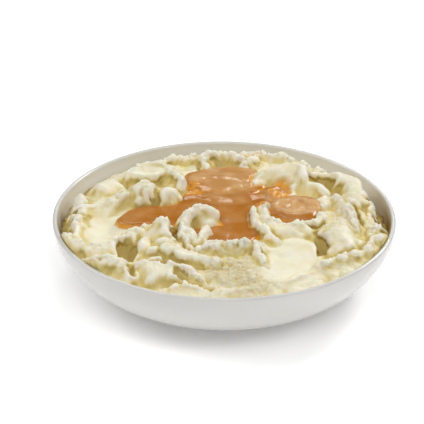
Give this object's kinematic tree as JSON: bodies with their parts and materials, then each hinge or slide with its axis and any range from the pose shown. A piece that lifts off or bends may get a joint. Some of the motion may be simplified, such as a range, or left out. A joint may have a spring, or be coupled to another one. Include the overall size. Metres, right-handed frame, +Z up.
{
  "type": "mashed potato side",
  "caption": "Round coupe bowl heaped with spoon-folded mashed potato, with brown gravy lying in the hollows on top.",
  "frame": {"origin": "on the table, under the middle of the bowl", "axes": "+Z up; -Y towards the diner's side, where the heap is lowest at the wall; +X to the right seen from there"},
  "size_m": [0.23, 0.23, 0.0617],
  "materials": {
    "porcelain": "smooth white glaze",
    "potato": "moist and creamy, slightly grainy, with soft broken edges",
    "gravy": "wet and glossy, opaque, lighter where it lies deep"
  },
  "bodies": {
    "root": {"bowl": "porcelain", "mash": "potato", "gravy": "gravy"}
  },
  "joints": []
}
